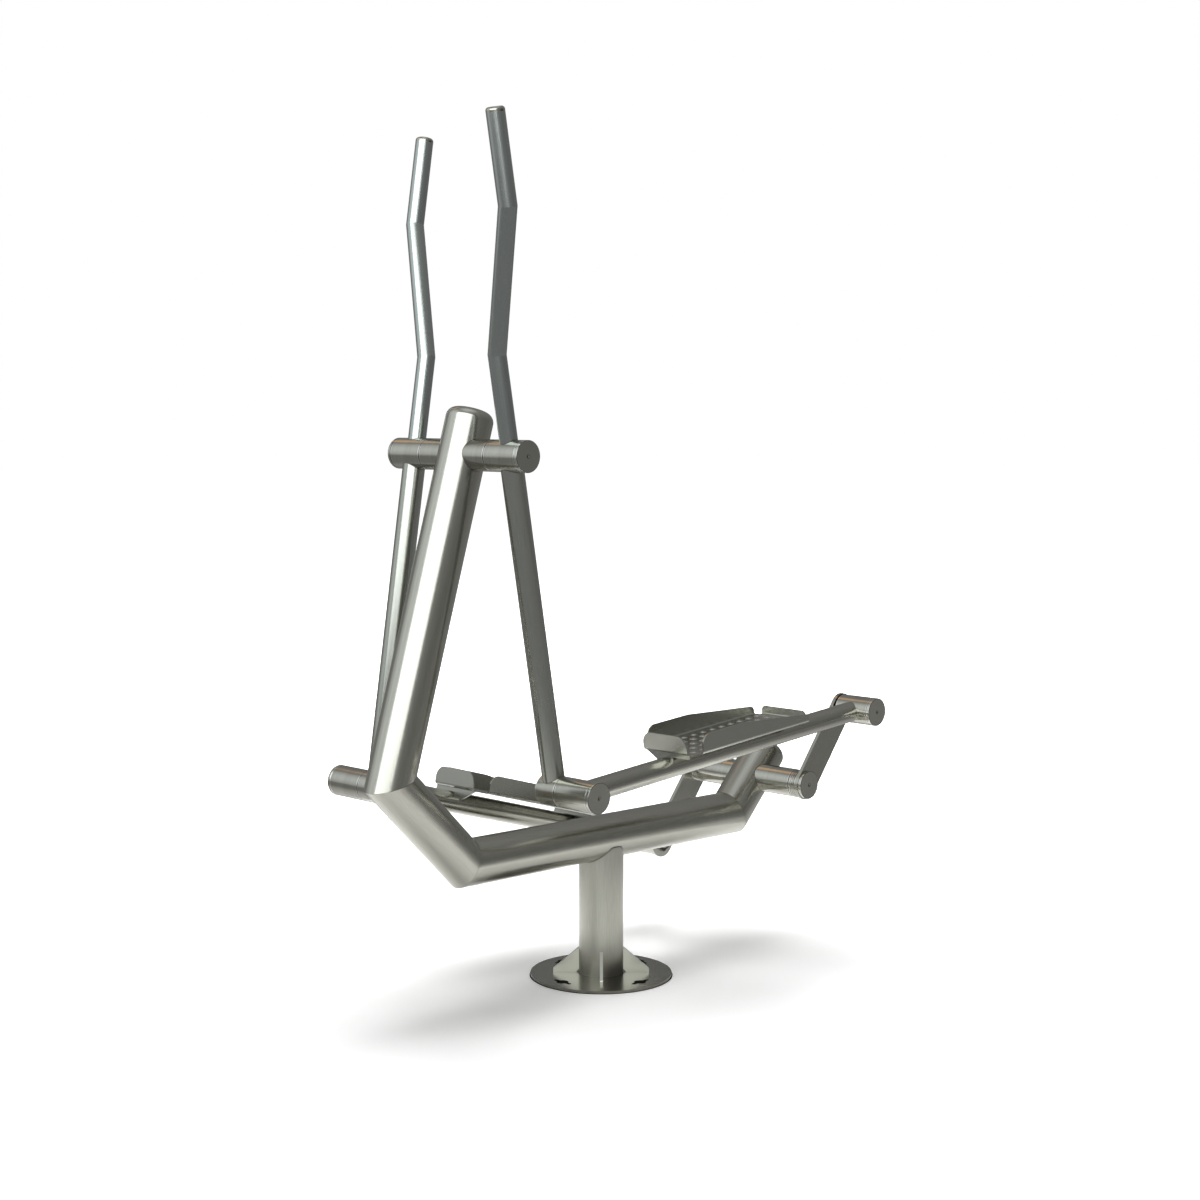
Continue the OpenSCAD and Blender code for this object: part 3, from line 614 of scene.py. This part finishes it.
for side in sides:
    low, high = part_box(side + "_crank_plate")
    inwards, face = (-1, low[1]) if side == "left" else (1, high[1])
    spot = Vector((crankPins[side].x, face, crankPins[side].z))
    makeFastener(side + "_crank_nut", crankNut["sides"], crankNut["radius"], crankNut["height"],
                 spot, inwards, shadedNutLook)
    makeFastener(side + "_crank_bolt_end", crankNut["boltSides"], crankNut["boltRadius"],
                 crankNut["boltHeight"], spot, inwards, satinLook)
print("crank nuts placed")


# Floor, world and lamps
studio = {
    "floorSize": 30,
    "floorRoughness": 0.9,
    "floorGrey": 0.92,
    "floorSeen": 1.13,            # the same floor as the camera and the steel see it
    "floorGlow": (0.0, 1.0),      # what the floor adds by itself, near the object and far away
    "glowSpan": (0.7, 2.2),       # metres from the post between the two
    "worldLight": 0.04,
}


def seenShare(tree):
    path = addNode(tree, "ShaderNodeLightPath").outputs
    seen = calculate(tree, "MAXIMUM", path["Is Camera Ray"], path["Is Glossy Ray"])
    return calculate(tree, "MAXIMUM", seen, path["Is Transmission Ray"])


def fromPost(tree):
    surface = addNode(tree, "ShaderNodeTexCoord").outputs["Object"]
    return combine(tree, "LENGTH", surface, result="Value")


def makeFloor():
    mesh = bmesh.new()
    bmesh.ops.create_grid(mesh, x_segments=1, y_segments=1, size=studio["floorSize"])
    material, tree, shader = newMaterial("paleFloor")
    grey = remap(tree, seenShare(tree), 0, 1, studio["floorGrey"], studio["floorSeen"])
    tree.links.new(grey, shader.inputs["Base Color"])
    shader.inputs["Roughness"].default_value = studio["floorRoughness"]
    shader.inputs["Specular IOR Level"].default_value = 0.0
    shader.inputs["Emission Color"].default_value = (1, 1, 1, 1)
    glow = remap(tree, fromPost(tree), *studio["glowSpan"], *studio["floorGlow"])
    strength = calculate(tree, "MULTIPLY", seenShare(tree), glow)
    tree.links.new(strength, shader.inputs["Emission Strength"])
    placeObject("floor", mesh, material)


def makeWorld():
    world = bpy.data.worlds.new("studio")
    bpy.context.scene.world = world
    world.use_nodes = True
    tree = world.node_tree
    background = tree.nodes["Background"]
    background.inputs["Color"].default_value = (1, 1, 1, 1)
    strength = remap(tree, seenShare(tree), 0, 1, studio["worldLight"], 1.0)
    tree.links.new(strength, background.inputs["Strength"])


# A near-black disc on the floor, a little wider than the base plate: painted contact shadow under
# the plate's edge, which also darkens its anchor holes
contactShadowDisc = {"radius": 0.1435, "height": 0.0004, "colour": (0.02, 0.02, 0.018), "segments": 96}


def makeContactShadowDisc():
    mesh = bmesh.new()
    bmesh.ops.create_circle(
        mesh, cap_ends=True, segments=contactShadowDisc["segments"], radius=contactShadowDisc["radius"])
    bmesh.ops.translate(mesh, vec=upwards * contactShadowDisc["height"], verts=mesh.verts)
    material, tree, shader = newMaterial("contactShadowDisc")
    shader.inputs["Base Color"].default_value = (*contactShadowDisc["colour"], 1)
    shader.inputs["Specular IOR Level"].default_value = 0.0
    placeObject("contactShadowDisc", mesh, material)


def newGlow(name):
    material, tree, shader = newMaterial(name)
    shader.inputs["Base Color"].default_value = (0, 0, 0, 1)
    shader.inputs["Specular IOR Level"].default_value = 0.0
    shader.inputs["Emission Color"].default_value = (1, 1, 1, 1)
    return material, tree, shader


def reflectedOnly(item):
    for rays in ("camera", "diffuse", "shadow", "transmission"):
        setattr(item, "visible_" + rays, False)


# Ring of dark card on the floor, seen in reflections alone
floorCard = {
    "span": (0.75, 9.0),        # inner and outer radius in metres
    "height": 0.0003,
    "shade": (0.78, 0.26),      # near the post and further out
    "shadeSpan": (0.75, 1.6),   # metres from the post between the two
    "segments": 96,
}


def makeFloorCard():
    mesh = bmesh.new()
    inner, outer = floorCard["span"]
    bmesh.ops.create_circle(mesh, segments=floorCard["segments"], radius=inner)
    bmesh.ops.translate(mesh, vec=upwards * floorCard["height"], verts=mesh.verts)
    grown = bmesh.ops.extrude_edge_only(mesh, edges=mesh.edges[:])["geom"]
    rim = [vertex for vertex in grown if isinstance(vertex, bmesh.types.BMVert)]
    bmesh.ops.scale(mesh, vec=(outer / inner, outer / inner, 1), verts=rim)
    material, tree, shader = newGlow("floorCard")
    shade = remap(tree, fromPost(tree), *floorCard["shadeSpan"], *floorCard["shade"])
    tree.links.new(shade, shader.inputs["Emission Strength"])
    reflectedOnly(placeObject("floorCard", mesh, material))


# Tent round the object, seen in reflections alone
tent = {
    "radius": 9.0,
    "segments": (48, 24),
    "shade": (0.26, 0.36),        # at the horizon and overhead
    "coolTint": (0.93, 0.98, 1.01),
    "coolSpan": (0.4, 0.8),       # shades between which the tint comes in
    "warmPlace": (143, 49),       # degrees left of the camera and degrees up
    "warmWidth": 10,
    "warmColour": (3.0, 2.1, 1.4),
    "warmGain": 3.0,              # how sharply the warm spot begins
}
# Degrees left of the camera, degrees up, half width and strength of each pale area of the tent
tentGlows = [
    (85, 28, 36, 0.7),
    (0, -5, 30, 0.3),
    (-90, 5, 60, -0.08),
    (180, 10, 60, -0.08),
    (0, 84, 28, 0.6),
]


def towards(leftwards, elevation):
    around = math.radians(cameraSpot["azimuth"] - leftwards)
    up = math.radians(elevation)
    level = Vector((math.cos(around), math.sin(around), 0))
    return level * math.cos(up) + upwards * math.sin(up)


def makeTent():
    mesh = bmesh.new()
    columns, rows = tent["segments"]
    bmesh.ops.create_uvsphere(
        mesh, u_segments=columns, v_segments=rows, radius=tent["radius"])
    material, tree, shader = newGlow("tent")
    surface = addNode(tree, "ShaderNodeTexCoord").outputs["Object"]
    heading = combine(tree, "NORMALIZE", surface)

    def spot(place, width, strength):
        near = combine(tree, "DOT_PRODUCT", heading, towards(*place), result="Value")
        return remap(tree, near, math.cos(math.radians(width)), 1, 0, strength)

    shade = remap(tree, splitAxes(tree, heading)["Z"], 0, 1, *tent["shade"])
    for leftwards, elevation, width, strength in tentGlows:
        shade = calculate(tree, "ADD", shade, spot((leftwards, elevation), width, strength))
    tree.links.new(shade, shader.inputs["Emission Strength"])
    coolShare = remap(tree, shade, *tent["coolSpan"], 0, 1)
    cool = mixColours(tree, coolShare, (1, 1, 1), tent["coolTint"])
    warmSpot = spot(tent["warmPlace"], tent["warmWidth"], 1)
    warmShare = calculate(
        tree, "MINIMUM", calculate(tree, "MULTIPLY", warmSpot, tent["warmGain"]), 1.0)
    colour = mixColours(tree, warmShare, cool, tent["warmColour"])
    tree.links.new(colour, shader.inputs["Emission Color"])
    reflectedOnly(placeObject("tent", mesh, material))


# The steel shows the first lamp, and the second lights the floor
keyLight = {
    "place": (24, 27),        # degrees left of the camera and degrees up
    "distance": 5.0,          # metres from the target
    "target": (0, 0, 0.7),
    "size": (6.8, 3.4),
    "brightness": 2.6,        # of the lamp's face
    "colour": (0.94, 0.98, 1.0),
    "mirrored": True,
    "diffuse": False,
}
overhead = {
    "place": (180, 79),
    "distance": 9.2,
    "target": (0, 0, 0.2),
    "size": (7.4, 7.4),
    "brightness": 7.06,
    "colour": (1, 1, 1),
    "mirrored": False,
    "diffuse": True,
}


def addLamp(name, values):
    data = bpy.data.lights.new(name, "AREA")
    data.shape = "RECTANGLE"
    data.size, data.size_y = values["size"]
    data.color = values["colour"]
    data.energy = values["brightness"] * math.pi * values["size"][0] * values["size"][1]
    lamp = bpy.data.objects.new(name, data)
    direction = towards(*values["place"])
    lamp.location = Vector(values["target"]) + direction * values["distance"]
    lamp.rotation_euler = direction.to_track_quat("Z", "Y").to_euler()
    lamp.visible_camera = False
    lamp.visible_glossy = values["mirrored"]
    lamp.visible_diffuse = values["diffuse"]
    bpy.context.scene.collection.objects.link(lamp)


makeFloor()
makeContactShadowDisc()
makeWorld()
makeFloorCard()
makeTent()
addLamp("keyLight", keyLight)
addLamp("overhead", overhead)
print("floor, world and lamps set")

bpy.context.scene.view_settings.view_transform = "Standard"
